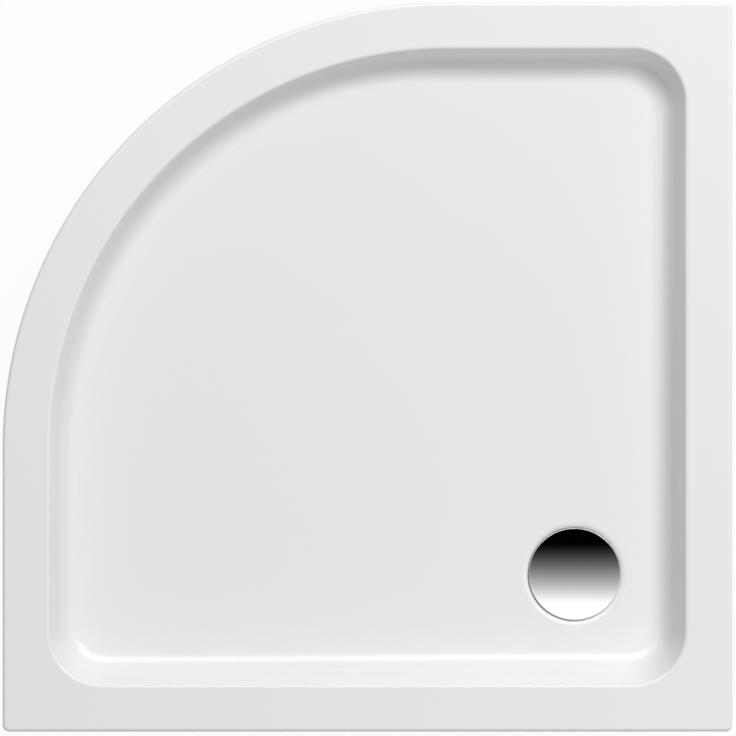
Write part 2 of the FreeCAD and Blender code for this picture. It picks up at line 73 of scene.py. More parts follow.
ORIGIN = Vector((0, 0, 0))
UP = Vector((0, 0, 1))
ALONG_X = Vector((1, 0, 0))
ALONG_Y = Vector((0, 1, 0))
QUARTER = math.pi / 2

# Points closer than this are one point
WELD = 1e-5

# Refractive index of the acrylic and of the moulded plastics
PLASTIC_IOR = 1.49

# Colour sockets of a Mix node
MIX_FIRST = 6
MIX_SECOND = 7
MIX_RESULT = 2

# Steps of a whole turn
COVER_STEPS = 128
FLOOR_STEPS = 64
BORE_STEPS = 48
PIN_STEPS = 32
THREAD_STEPS = 20

# Steps of the arcs in turned outlines
DOME_STEPS = 24
BALL_STEPS = 20
COVER_EDGE_STEPS = 6
LEG_END_STEPS = 5
HEAD_STEPS = 5

# Edges that turn by more than this are shaded sharp
COVER_SHARP = math.radians(40)
SCREW_SHARP = math.radians(35)
HEXAGON_SHARP = math.radians(25)

# Edges of the studio's lights: the part of a unit direction where a light begins, and where it is full
CEILING_EDGE = (0.80, 0.93)
CEILING_FADE = (0.065, -0.245)
WALL_FADE = (0.15, 0.65)
STRIP_FOOT = (0.58, 0.68)
STRIP_HEAD = (0.97, 0.82)
STRIP_BACK = (0.18, 0.32)
STRIP_LEFT = (-0.50, -0.34)
STRIP_RIGHT = (0.66, 0.52)


def point_under(low, high):
    """Point on the room floor under the middle of a box."""
    return Vector(((low.x + high.x) / 2, (low.y + high.y) / 2, 0))


# Places that the frame gives
shell_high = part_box("tray_shell")[1]
cover_low, cover_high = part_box("drain_cover")
flange_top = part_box("waste_flange")[1].z
recess_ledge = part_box("flange_seal")[0].z
drain = point_under(cover_low, cover_high)
leg_numbers = [body.split("_")[1] for body in frame["bodies"] if body.startswith("stud_")]
leg_places = [point_under(*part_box("leg_stud_" + number)) for number in leg_numbers]


def length(name, description, default):
    """Size in metres."""
    return FloatProperty(name=name, description=description, default=default, unit="LENGTH", precision=4)


def angle(name, description, degrees):
    """Angle, whose default is given in degrees."""
    default = math.radians(degrees)
    return FloatProperty(name=name, description=description, default=default, subtype="ANGLE")


def amount(name, description, default):
    """Plain number from 0 up."""
    return FloatProperty(name=name, description=description, default=default, min=0)


def colour(name, description, *rgb):
    """Colour in linear light."""
    return FloatVectorProperty(name=name, description=description, default=rgb, subtype="COLOR", min=0)


class ShellSizes(bpy.types.PropertyGroup):
    """Sizes of the formed sheet"""

    front_radius: length("Front radius", "Radius of the rounded front at the outer edge", 0.550)
    rim_width: length("Rim width", "Flat rim between the outer edge and the pan", 0.054)
    sheet: length("Sheet", "Thickness of the acrylic sheet", 0.004)
    edge_radius: length("Edge radius", "Bend at the outer edge and at the top of the pan wall", 0.0055)
    outer_corner: length("Outer corner", "Corner radius of the outer edge", 0.008)
    lip_height: length("Lip height", "Height of the turned-down outer edge", 0.038)
    wall_slope: angle("Wall slope", "Slope of the pan wall from the level", 70)
    base_radius: length("Base radius", "Bend between the pan wall and the floor", 0.032)
    floor_corner: length("Floor corner", "Corner radius of the floor beside the drain", 0.025)
    floor_slope: angle("Floor slope", "Fall of the floor towards the drain", 0.7)
    recess_radius: length("Recess radius", "Radius of the drain recess at the floor", 0.067)
    recess_depth: length("Recess depth", "Depth of the drain recess under the floor", 0.007)
    recess_slope: angle("Recess slope", "Slope of the recess wall from the level", 50)
    recess_edge: length("Recess edge", "Bend at the top of the recess wall", 0.012)
    recess_base: length("Recess base", "Bend at the foot of the recess wall", 0.003)
    hole_radius: length("Hole radius", "Radius of the drain hole", 0.045)


class CoverSizes(bpy.types.PropertyGroup):
    """Sizes of the drain cover"""

    crown: length("Crown", "Rise of the dome", 0.003)
    edge_height: length("Edge height", "Height of the turned-down edge", 0.0036)
    edge_round: length("Edge rounding", "Bend between the dome and its edge", 0.0006)
    wall: length("Wall", "Thickness of the pressed metal", 0.0016)
    boss_radius: length("Boss radius", "Outer radius of the boss on the strainer's stem", 0.0068)
    boss_bore: length("Boss bore", "Bore of the boss on the strainer's stem", 0.0043)
    leg_circle: length("Leg circle", "Radius of the circle on which the short legs stand", 0.046)
    leg_radius: length("Leg radius", "Radius of a short leg", 0.003)
    leg_round: length("Leg rounding", "Rounding of the end of a short leg", 0.001)
    leg_gap: length("Leg gap", "Gap between the short legs and the flange", 0.0003)
    leg_count: IntProperty(name="Legs", description="Number of short legs", default=4, min=1)


class FastenerSizes(bpy.types.PropertyGroup):
    """Sizes of the studs, nuts and screws of the legs"""

    thread_radius: length("Thread radius", "Outer radius of the stud's thread", 0.0059)
    thread_depth: length("Thread depth", "Depth of the stud's thread", 0.00095)
    thread_chamfer: length("Thread chamfer", "Chamfer on the end of the stud", 0.0012)
    pitch: length("Pitch", "Rise of the thread in a turn", 0.00175)
    neck_radius: length("Neck radius", "Radius of the neck over the ball", 0.0046)
    ball_radius: length("Ball radius", "Radius of the ball in the foot pad", 0.007)
    collar_lift: length("Collar lift", "Gap between the foot pad and the stud's hexagon", 0.0025)
    collar_flats: length("Collar flats", "Width of the stud's hexagon across its flats", 0.017)
    collar_height: length("Collar height", "Height of the stud's hexagon", 0.008)
    nut_flats: length("Nut flats", "Width of the nuts across their flats", 0.019)
    nut_bore: length("Nut bore", "Bore of the nuts", 0.00605)
    face_share: amount("Face share", "Width of a hexagon's round face as a share of its flats", 0.94)
    face_chamfer: angle("Face chamfer", "Slope of the cone that turns off a hexagon's corners", 30)
    screw_count: IntProperty(name="Screws", description="Number of screws in a socket", default=3, min=1)
    screw_circle: length("Screw circle", "Radius of the circle of screws in a socket", 0.0245)
    screw_radius: length("Screw radius", "Radius of a screw's shank", 0.0021)
    screw_tip: length("Screw tip", "Length of a screw's tapered tip", 0.003)
    head_radius: length("Head radius", "Radius of a screw's head", 0.004)
    head_height: length("Head height", "Height of a screw's head", 0.0024)
    head_edge: length("Head edge", "Height of the upright edge of a screw's head", 0.0010)
    head_flat: length("Head flat", "Radius of the flat in the middle of a screw's head", 0.0026)
    cross_length: length("Cross length", "Reach of the driving cross in a screw's head", 0.0021)
    cross_width: length("Cross width", "Width of the driving cross in a screw's head", 0.0009)
    cross_depth: length("Cross depth", "Depth of the driving cross in a screw's head", 0.0014)
    cross_taper: amount("Cross taper", "Size of the driving cross's foot as a share of its mouth", 0.6)


class TrayColours(bpy.types.PropertyGroup):
    """Colours of the finishes"""

    acrylic: colour("Acrylic", "Gloss sheet", 0.87, 0.87, 0.87)
    chrome: colour("Chrome", "Mirror plate of the cover", 0.97, 0.97, 0.975)
    stainless: colour("Stainless", "Pressed flange", 0.60, 0.60, 0.59)
    zinc: colour("Zinc", "Bright zinc plate", 0.60, 0.61, 0.62)
    zinc_tint: colour("Zinc tint", "Passivated tint in the zinc", 0.64, 0.61, 0.52)
    laminate: colour("Laminate", "Glass-fibre resin", 0.66, 0.64, 0.52)
    fibre: colour("Fibre", "Strands in the resin", 0.80, 0.79, 0.71)
    board_light: colour("Board, light", "Pale flakes of the chipboard", 0.72, 0.57, 0.38)
    board_dark: colour("Board, dark", "Dark flakes of the chipboard", 0.42, 0.28, 0.16)
    black_plastic: colour("Black plastic", "Sockets and pads of the legs", 0.022, 0.022, 0.024)
    dark_plastic: colour("Dark plastic", "Union nut", 0.045, 0.047, 0.05)
    white_plastic: colour("White plastic", "Trap and outlet", 0.74, 0.74, 0.71)
    grey_plastic: colour("Grey plastic", "Lift-out insert and strainer", 0.30, 0.31, 0.32)
    rubber: colour("Rubber", "Soles and seals", 0.020, 0.020, 0.021)


class StudioSettings(bpy.types.PropertyGroup):
    """Camera, light and floor"""

    camera_height: length("Camera height", "Height of the camera over the rim", 2.6)
    camera_right: length("Camera right", "Step of the camera to the right of the tray's middle", 0.0007)
    camera_back: length("Camera back", "Step of the camera from the tray's middle to the back", 0.0015)
    camera_reach: length("Camera reach", "Distance to which the camera sees", 100.0)
    view_width: length("View width", "Width that the picture shows at the rim", 0.9062)
    softbox_distance: length("Softbox distance", "Distance from the tray to the softbox", 6.2)
    softbox_width: length("Softbox width", "Width of the softbox", 2.7)
    softbox_height: length("Softbox height", "Height of the softbox", 1.8)
    softbox_lean: angle("Softbox lean", "Turn of the softbox from overhead towards the front", 34)
    softbox_aside: angle("Softbox aside", "Turn of the softbox from overhead to the right", 24)
    softbox_power: FloatProperty(
        name="Softbox power", description="Power of the softbox", default=260, min=0, unit="POWER"
    )
    overhead: amount("Overhead", "Strength of the soft light from overhead", 1.10)
    overhead_curve: amount("Overhead curve", "How closely the soft light keeps to overhead", 6)
    end_walls: amount("End walls", "Strength of the soft light from the front and the back", 0.69)
    strip: amount("Strip", "Brightness of the strip light that gloss mirrors", 2.9)
    strip_ends: amount("Strip ends", "How much the strip light brightens to its ends", 2.2)
    ceiling: amount("Ceiling", "Brightness of the ceiling that the cover mirrors", 1.08)
    ceiling_curve: amount("Ceiling curve", "How late the ceiling turns from dark to bright", 2.1)
    wall_foot: amount("Wall foot", "Brightness at the foot of the walls that metal mirrors", 0.15)
    wall_top: amount("Wall top", "Brightness at the top of the walls that metal mirrors", 0.85)
    floor_radius: length("Floor radius", "Radius of the stage floor", 12.0)
    floor_drop: length("Floor drop", "Hair gap between the soles and the stage floor", 0.0002)
    floor_grey: amount("Floor grey", "Grey of the stage floor", 0.80)
    floor_roughness: amount("Floor roughness", "Roughness of the stage floor", 0.90)
    floor_clear: amount("Floor clearness", "Share of the background that shows through the floor", 0.94)


class Signal:
    """A socket's value. A sum of signals and numbers adds the Math nodes that work it out."""

    def __init__(self, nodes, socket):
        self.nodes = nodes
        self.socket = socket

    def maths(self, operation, first, second):
        return self.nodes.add("ShaderNodeMath", {"operation": operation}, {0: first, 1: second})

    def __add__(self, other):
        return self.maths("ADD", self, other)

    def __radd__(self, other):
        return self.maths("ADD", other, self)

    def __sub__(self, other):
        return self.maths("SUBTRACT", self, other)

    def __rsub__(self, other):
        return self.maths("SUBTRACT", other, self)

    def __mul__(self, other):
        return self.maths("MULTIPLY", self, other)

    def __rmul__(self, other):
        return self.maths("MULTIPLY", other, self)

    def __pow__(self, other):
        return self.maths("POWER", self, other)

    def between(self, low, high):
        """Share of the way from low to high, held within 0 and 1."""
        inputs = {"Value": self, "From Min": low, "From Max": high}
        return self.nodes.add("ShaderNodeMapRange", {}, inputs)


class Nodes:
    """The node tree of a finish or of the world."""

    def __init__(self, tree):
        self.tree = tree

    def add(self, kind, settings=None, inputs=None, output=0):
        """Adds a node of a kind: its settings come first, then the values or links of its sockets."""
        node = self.tree.nodes.new(kind)
        for name, value in (settings or {}).items():
            setattr(node, name, value)
        for key, value in (inputs or {}).items():
            self.plug(node.inputs[key], value)
        return Signal(self, node.outputs[output])

    def plug(self, socket, value):
        if isinstance(value, Signal):
            self.tree.links.new(value.socket, socket)
        else:
            socket.default_value = value

    def blend(self, share, first, second):
        """Colour that goes from the first to the second with a share from 0 to 1."""
        inputs = {"Factor": share, MIX_FIRST: (*first, 1.0), MIX_SECOND: (*second, 1.0)}
        return self.add("ShaderNodeMix", {"data_type": "RGBA"}, inputs, MIX_RESULT)


class Finish(Nodes):
    """A procedural material whose patterns lie in the object's own space."""

    def __init__(self, name):
        self.material = bpy.data.materials.new(name)
        self.material.use_nodes = True
        super().__init__(self.material.node_tree)
        self.place = self.add("ShaderNodeTexCoord", output="Object")

    def turned(self, rotation, scale):
        """The object's space, turned and then stretched."""
        inputs = {"Vector": self.place, "Rotation": rotation, "Scale": scale}
        return self.add("ShaderNodeMapping", {}, inputs)

    def noise(self, size, detail=2.0):
        """Cloudy pattern from 0 to 1 with features of about a size."""
        inputs = {"Vector": self.place, "Scale": 1 / size, "Detail": detail}
        return self.add("ShaderNodeTexNoise", {}, inputs)

    def rings(self, size, detail=2.0):
        """Fine rings round the drain, each with a tone from 0 to 1."""
        offset = self.add("ShaderNodeVectorMath", {"operation": "SUBTRACT"}, {0: self.place, 1: drain})
        flat = self.add("ShaderNodeVectorMath", {"operation": "MULTIPLY"}, {0: offset, 1: (1, 1, 0)})
        radius = self.add("ShaderNodeVectorMath", {"operation": "LENGTH"}, {0: flat}, "Value")
        inputs = {"W": radius, "Scale": 1 / size, "Detail": detail}
        return self.add("ShaderNodeTexNoise", {"noise_dimensions": "1D"}, inputs)

    def flakes(self, size, place):
        """Cells with a tone from 0 to 1 each."""
        cells = self.add("ShaderNodeTexVoronoi", {}, {"Vector": place, "Scale": 1 / size}, "Color")
        return self.add("ShaderNodeSeparateColor", {}, {"Color": cells}, "Red")

    def seams(self, size, place, width):
        """Seams between cells: 0 in a seam, 1 past its width, which is a share of a cell."""
        inputs = {"Vector": place, "Scale": 1 / size}
        gaps = self.add("ShaderNodeTexVoronoi", {"feature": "DISTANCE_TO_EDGE"}, inputs, "Distance")
        return gaps.between(0.0, width)

    def bump(self, height, depth, softened=0.0):
        """Relief of a depth, over edges that are softened by a radius."""
        inputs = {"Height": height, "Distance": depth}
        if softened:
            inputs["Normal"] = self.add("ShaderNodeBevel", {"samples": 4}, {"Radius": softened})
        return self.add("ShaderNodeBump", {}, inputs)

    def surface(self, **inputs):
        """Sets the shader's sockets, whose names are given with underscores for spaces."""
        shader = self.tree.nodes["Principled BSDF"]
        for name, value in inputs.items():
            self.plug(shader.inputs[name.replace("_", " ")], value)
        return self.material


def shaded(rgb, share):
    """Colour with a share of its brightness."""
    return tuple(share * channel for channel in rgb)


def acrylic_finish(colours):
    """Gloss sheet with the slow ripple of forming and a very fine orange peel."""
    finish = Finish("acrylic")
    drift = finish.noise(size=0.35)
    ripple = finish.noise(size=0.06, detail=1.0)
    peel = finish.noise(size=0.0016, detail=1.0)
    return finish.surface(
        Base_Color=finish.blend(drift, shaded(colours.acrylic, share=0.985), colours.acrylic),
        Roughness=0.05 + 0.04 * peel,
        IOR=PLASTIC_IOR,
        Normal=finish.bump(ripple + 0.02 * peel, depth=0.00006),
    )


def chrome_finish(colours):
    """Mirror plate with a faint haze and hair-fine polishing rings."""
    finish = Finish("chrome")
    haze = finish.noise(size=0.012, detail=3.0)
    polish = finish.rings(size=0.0004)
    return finish.surface(
        Base_Color=finish.blend(haze, shaded(colours.chrome, share=0.98), colours.chrome),
        Metallic=1.0,
        Roughness=0.02 + 0.03 * haze * polish,
    )


def stainless_finish(colours):
    """Pressed steel with fine turned rings."""
    finish = Finish("stainless")
    lines = finish.rings(size=0.00035, detail=3.0)
    stain = finish.noise(size=0.02, detail=3.0)
    return finish.surface(
        Base_Color=finish.blend(stain, shaded(colours.stainless, share=0.88), colours.stainless),
        Metallic=1.0,
        Roughness=0.20 + 0.16 * lines + 0.06 * stain,
        Normal=finish.bump(lines, depth=0.000004, softened=0.0003),
    )


def zinc_finish(colours):
    """Bright zinc plate: a cloudy passivated tint and a slightly uneven gloss."""
    finish = Finish("zinc_steel")
    tint = finish.noise(size=0.011, detail=3.0).between(0.35, 0.7)
    grain = finish.noise(size=0.0007)
    return finish.surface(
        Base_Color=finish.blend(tint, colours.zinc, colours.zinc_tint),
        Metallic=1.0,
        Roughness=0.22 + 0.14 * tint + 0.08 * grain,
        Normal=finish.bump(grain, depth=0.00001),
    )


def laminate_finish(colours):
    """Sprayed resin with chopped strands lying every way in it."""
    finish = Finish("laminate")
    layers = 5
    layer_turn = math.radians(76)
    strands = 0
    for layer in range(layers):
        turn = layer * layer_turn
        place = finish.turned(rotation=(turn, 1.7 * turn, 0.6 * turn), scale=(1, 18, 1))
        strands = strands + (1 - finish.seams(size=0.03, place=place, width=0.10))
    clumps = finish.noise(size=0.03, detail=4.0)
    cover = (strands * clumps).between(0.25, 1.3)
    return finish.surface(
        Base_Color=finish.blend(cover, colours.laminate, colours.fibre),
        Roughness=0.42 + 0.25 * cover,
        Normal=finish.bump(cover + clumps, depth=0.0006),
    )


def board_finish(colours):
    """Raw chipboard: flakes of mixed tone pressed flat, with open pores between them."""
    finish = Finish("board")
    flake = 0.006
    lying = finish.turned(rotation=(0, 0, 0), scale=(1, 0.55, 2.5))
    crossed = finish.turned(rotation=(0, 0, math.radians(64)), scale=(1, 0.4, 2.5))
    large = finish.flakes(size=flake, place=lying)
    small = finish.flakes(size=0.0028, place=crossed)
    pores = finish.seams(size=flake, place=lying, width=0.06)
    tone = (0.55 * large + 0.45 * small) * (0.55 + 0.45 * pores)
    return finish.surface(
        Base_Color=finish.blend(tone.between(0.1, 0.8), colours.board_dark, colours.board_light),
        Roughness=0.78 + 0.15 * small,
        Normal=finish.bump(pores + 0.5 * large, depth=0.0002, softened=0.0006),
    )


def moulded_finish(name, rgb, roughness, grain_depth):
    """Moulded plastic: a fine eroded grain, cloudy gloss and edges rounded by the mould."""
    finish = Finish(name)
    flow = finish.noise(size=0.018, detail=3.0)
    grain = finish.noise(size=0.0006)
    return finish.surface(
        Base_Color=finish.blend(flow, shaded(rgb, share=0.86), rgb),
        Roughness=roughness + 0.08 * flow + 0.07 * grain,
        IOR=PLASTIC_IOR,
        Normal=finish.bump(grain, depth=grain_depth, softened=0.0006),
    )


def rubber_finish(name, rgb):
    """Matt rubber with a bloom of dust and a pitted skin."""
    finish = Finish(name)
    bloom = finish.noise(size=0.009, detail=4.0).between(0.4, 0.75)
    pits = finish.noise(size=0.0005)
    return finish.surface(
        Base_Color=finish.blend(bloom, rgb, shaded(rgb, share=1.9)),
        Roughness=0.72 + 0.18 * bloom,
        Normal=finish.bump(pits, depth=0.00003, softened=0.0004),
    )


def placed(name, data):
    """Makes an object of a mesh's, light's or camera's data and puts it in the scene."""
    made = bpy.data.objects.new(name, data)
    bpy.context.scene.collection.objects.link(made)
    return made


def linked(name, mesh, material):
    """Makes an object of a drawn mesh and a finish."""
    data = bpy.data.meshes.new(name)
    mesh.to_mesh(data)
    mesh.free()
    data.materials.append(material)
    return placed(name, data)


def finished(name, mesh, material, body, node):
    """Makes a piece that rides on a body, takes a slot's finish and stands for a CAD node."""
    piece = linked(name, mesh, material)
    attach(piece, body)
    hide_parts(node)
    return piece


def paint(material, *names):
    """Gives CAD nodes a finish."""
    for name in names:
        slots = frame["nodes"][name].data.materials
        for index in range(len(slots)):
            slots[index] = material


def closed(mesh):
    """Merges the seams and poles of a mesh and points its faces outwards."""
    bmesh.ops.remove_doubles(mesh, verts=mesh.verts, dist=WELD)
    bmesh.ops.recalc_face_normals(mesh, faces=mesh.faces)


def smoothed(mesh, sharpest):
    """Shades a mesh smooth, apart from edges that turn by more than an angle."""
    for face in mesh.faces:
        face.smooth = True
    for edge in mesh.edges:
        edge.smooth = edge.calc_face_angle(math.pi) < sharpest


def absorb(mesh, other):
    """Moves all of another mesh into a mesh."""
    data = bpy.data.meshes.new("absorbed")
    other.to_mesh(data)
    other.free()
    mesh.from_mesh(data)
    bpy.data.meshes.remove(data)


def outline_of(mesh):
    """Everything drawn in a mesh that has no faces yet."""
    return mesh.verts[:] + mesh.edges[:]


def open_edges(mesh, low=-math.inf, high=math.inf):
    """Open edges between two heights."""
    edges = [edge for edge in mesh.edges if edge.is_boundary]
    return [edge for edge in edges if all(low < vert.co.z < high for vert in edge.verts)]


def line_to(mesh, vert, place):
    """Draws a straight edge from a vertex to a place."""
    end = bmesh.ops.extrude_vert_indiv(mesh, verts=[vert])["verts"][0]
    end.co = place
    return end


def arc_from(mesh, vert, centre, axis, turn, steps):
    """Draws an arc from a vertex round an axis through a centre."""
    drawn = bmesh.ops.spin(mesh, geom=[vert], cent=centre, axis=axis, angle=turn, steps=steps)
    return next(part for part in drawn["geom_last"] if isinstance(part, bmesh.types.BMVert))


def carried(mesh, outline, steps, centre=ORIGIN, turn=0.0, shift=ORIGIN):
    """Carries a drawn outline along a shift, round an upright axis or both, and gives its end."""
    step = shift / steps
    swept = bmesh.ops.spin(mesh, geom=outline, cent=centre, axis=UP, dvec=step, angle=turn, steps=steps)
    return swept["geom_last"]


def spun(mesh, centre, steps):
    """Turns everything drawn in a mesh once round an upright axis."""
    outline = outline_of(mesh)
    bmesh.ops.spin(mesh, geom=outline, cent=centre, axis=UP, angle=math.tau, steps=steps, use_merge=True)
    closed(mesh)
    return mesh


def circle(mesh, centre, radius, count):
    """Draws a level circle, whose edges begin a stack of rings."""
    place = Matrix.Translation(centre)
    verts = bmesh.ops.create_circle(mesh, segments=count, radius=radius, matrix=place)["verts"]
    return list({edge for vert in verts for edge in vert.link_edges})


def ring(mesh, loop, place_of):
    """Draws the next ring of a stack, with each vertex at the place that a function gives for it."""
    drawn = bmesh.ops.extrude_edge_only(mesh, edges=loop)["geom"]
    for part in drawn:
        if isinstance(part, bmesh.types.BMVert):
            part.co = place_of(part.co)
    return [part for part in drawn if isinstance(part, bmesh.types.BMEdge) and part.is_boundary]


def towards(bearing):
    """Level direction of a bearing."""
    return Vector((math.cos(bearing), math.sin(bearing), 0))


def around(centre, reach, height):
    """Function that moves a place along its bearing from a centre to a reach and a height.

    The reach may be a function of the bearing, and the height a function of the reach.
    """
    def place_of(place):
        offset = place - centre
        bearing = math.atan2(offset.y, offset.x)
        radius = reach(bearing) if callable(reach) else reach
        level = height(radius) if callable(height) else height
        return centre + radius * towards(bearing) + level * UP
    return place_of


def run_of_wall(depth, slope, bends):
    """Level run of a sloping wall and the bends above and below it, whose radii add up to bends."""
    drop = depth - bends * (1 - math.cos(slope))
    return bends * math.sin(slope) + drop / math.tan(slope)


class Plan:
    """The tray's outline seen from above."""

    # Length of a step on a straight, and number of steps in a corner and in the front
    straight_step = 0.008
    corner_steps = 14
    front_steps = 72

    def __init__(self, front_radius):
        self.half = shell_high.x
        self.front_radius = front_radius
        reach = self.half - front_radius
        self.front_centre = Vector((-reach, reach, 0))

    def rounds(self, inset, corner):
        """Rounds, anticlockwise from the drain's corner: centre, radius, first bearing and steps."""
        reach = self.half - inset - corner
        front = self.front_radius - inset
        return (
            (Vector((reach, -reach, 0)), corner, -QUARTER, self.corner_steps),
            (Vector((reach, reach, 0)), corner, 0, self.corner_steps),
            (self.front_centre, front, QUARTER, self.front_steps),
            (Vector((-reach, -reach, 0)), corner, 2 * QUARTER, self.corner_steps),
        )

    def start(self, inset, corner):
        """Where the outline leaves its last corner along the back."""
        return Vector((inset + corner - self.half, inset - self.half, 0))

    def carry(self, mesh, inset, corner):
        """Carries everything drawn at the start round the outline."""
        outline = outline_of(mesh)
        here = self.start(inset, corner)
        for centre, radius, bearing, steps in self.rounds(inset, corner):
            straight = centre + radius * towards(bearing) - here
            straight_steps = math.ceil(straight.length / self.straight_step)
            outline = carried(mesh, outline, straight_steps, shift=straight)
            outline = carried(mesh, outline, steps, centre=centre, turn=QUARTER)
            here = centre + radius * towards(bearing + QUARTER)
        bmesh.ops.remove_doubles(mesh, verts=mesh.verts, dist=WELD)

    def outward(self, place, inset, corner):
        """Level direction square to the outline at a place."""
        for centre, _, bearing, _ in self.rounds(inset, corner):
            offset = (place - centre).to_2d()
            middle = towards(bearing + QUARTER / 2).to_2d()
            if offset.angle(middle, math.pi) < QUARTER / 2:
                return offset.normalized().to_3d()
        if abs(place.x) > abs(place.y):
            return Vector((math.copysign(1, place.x), 0, 0))
        return Vector((0, math.copysign(1, place.y), 0))


class Shell:
    """The formed sheet's upper face, drawn from the outer lip to the drain hole."""

    edge_steps = 8
    base_steps = 16
    floor_rings = 10

    def __init__(self, sizes):
        self.sizes = sizes
        self.plan = Plan(sizes.front_radius)
        self.top = shell_high.z
        self.drain_floor = recess_ledge + sizes.recess_depth
        self.depth = self.top - self.drain_floor
        self.wall_run = run_of_wall(self.depth, sizes.wall_slope, sizes.edge_radius + sizes.base_radius)
        self.pan_corner = sizes.floor_corner + self.wall_run

    def lip(self):
        """Upright lip and its bend up to the rim."""
        sizes = self.sizes
        mesh = bmesh.new()
        start = self.plan.start(0, sizes.outer_corner) + self.top * UP
        vert = mesh.verts.new(start - sizes.lip_height * UP)
        vert = line_to(mesh, vert, start - sizes.edge_radius * UP)
        centre = vert.co + sizes.edge_radius * ALONG_Y
        arc_from(mesh, vert, centre, ALONG_X, -QUARTER, self.edge_steps)
        self.plan.carry(mesh, 0, sizes.outer_corner)
        return mesh

    def wall(self):
        """Bend at the rim, sloping wall and base bend, as deep everywhere as at the drain."""
        sizes = self.sizes
        mesh = bmesh.new()
        start = self.plan.start(sizes.rim_width, self.pan_corner) + self.top * UP
        vert = mesh.verts.new(start)
        centre = start - sizes.edge_radius * UP
        vert = arc_from(mesh, vert, centre, ALONG_X, -sizes.wall_slope, self.edge_steps)
        centre = start + self.wall_run * ALONG_Y + (sizes.base_radius - self.depth) * UP
        foot = Matrix.Rotation(-sizes.wall_slope, 3, "X") @ Vector((0, 0, -sizes.base_radius))
        vert = line_to(mesh, vert, centre + foot)
        arc_from(mesh, vert, centre, ALONG_X, sizes.wall_slope, self.base_steps)
        self.plan.carry(mesh, sizes.rim_width, self.pan_corner)
        return mesh

    def floor_height(self, place):
        """Height of the floor, which falls to the drain from every side."""
        run = (place - drain).to_2d().length - self.sizes.recess_radius
        return self.drain_floor + max(run, 0) * math.tan(self.sizes.floor_slope)

    def settle(self, mesh):
        """Slides the base bend up the sloping wall until it lies on the falling floor."""
        sizes = self.sizes
        bend_top = self.drain_floor + sizes.base_radius * (1 - math.cos(sizes.wall_slope))
        for vert in mesh.verts:
            if vert.co.z < bend_top + WELD:
                rise = self.floor_height(vert.co) - self.drain_floor
                outward = self.plan.outward(vert.co, sizes.rim_width, self.pan_corner)
                vert.co += rise * (UP + outward / math.tan(sizes.wall_slope))

    def fill_floor(self, mesh, loop):
        """Floor rings from the base bend to the edge of the recess."""
        edge_of_recess = around(drain, self.sizes.recess_radius, 0)
        for rings_left in range(self.floor_rings, 0, -1):
            def place_of(place):
                there = place.lerp(edge_of_recess(place), 1 / rings_left)
                there.z = self.floor_height(there)
                return there
            loop = ring(mesh, loop, place_of)
        return loop

    def press_recess(self, mesh, loop):
        """Recess rings: the edge bend, the sloping wall, the base bend and the ledge round the hole."""
        sizes = self.sizes
        slope = sizes.recess_slope
        run = run_of_wall(sizes.recess_depth, slope, sizes.recess_edge + sizes.recess_base)
        foot = sizes.recess_radius - run
        for step in range(1, self.edge_steps + 1):
            turn = slope * step / self.edge_steps
            radius = sizes.recess_radius - sizes.recess_edge * math.sin(turn)
            fall = sizes.recess_edge * (1 - math.cos(turn))
            loop = ring(mesh, loop, around(drain, radius, self.drain_floor - fall))
        for step in range(self.edge_steps, -1, -1):
            turn = slope * step / self.edge_steps
            radius = foot + sizes.recess_base * math.sin(turn)
            rise = sizes.recess_base * (1 - math.cos(turn))
            loop = ring(mesh, loop, around(drain, radius, recess_ledge + rise))
        ring(mesh, loop, around(drain, sizes.hole_radius, recess_ledge))

    def model(self):
        """The whole upper face as one mesh."""
        mesh = self.wall()
        self.settle(mesh)
        base_loop = open_edges(mesh, high=self.top - self.depth / 2)
        self.press_recess(mesh, self.fill_floor(mesh, base_loop))
        absorb(mesh, self.lip())
        bmesh.ops.bridge_loops(mesh, edges=open_edges(mesh, low=self.top - WELD))
        closed(mesh)
        return mesh


def cover_dome(sizes):
    """Domed disc with a rounded, turned-down edge."""
    radius = cover_high.x - drain.x
    rim = radius - sizes.edge_round
    inner = radius - sizes.wall
    sphere = (rim ** 2 + sizes.crown ** 2) / (2 * sizes.crown)
    top = drain + cover_high.z * UP
    under = math.asin(inner / sphere)
    mesh = bmesh.new()
    vert = mesh.verts.new(top)
    vert = arc_from(mesh, vert, top - sphere * UP, ALONG_Y, math.asin(rim / sphere), DOME_STEPS)
    vert = arc_from(mesh, vert, vert.co - sizes.edge_round * UP, ALONG_Y, QUARTER, COVER_EDGE_STEPS)
    vert = line_to(mesh, vert, vert.co - (sizes.edge_height - sizes.edge_round) * UP)
    vert = line_to(mesh, vert, vert.co - sizes.wall * ALONG_X)
    centre = top - (sphere + sizes.wall) * UP
    vert = line_to(mesh, vert, centre + sphere * Vector((math.sin(under), 0, math.cos(under))))
    arc_from(mesh, vert, centre, ALONG_Y, -under, DOME_STEPS)
    return spun(mesh, drain, COVER_STEPS)


def cover_boss(sizes):
    """Short tube under the dome that fits on the strainer's stem."""
    mesh = bmesh.new()
    loop = circle(mesh, drain + cover_low.z * UP, sizes.boss_bore, BORE_STEPS)
    into_dome = cover_high.z - sizes.wall / 2
    for radius, height in (
        (sizes.boss_radius, cover_low.z),
        (sizes.boss_radius, into_dome),
        (sizes.boss_bore, into_dome),
        (sizes.boss_bore, cover_low.z),
    ):
        loop = ring(mesh, loop, around(drain, radius, height))
    closed(mesh)
    return mesh


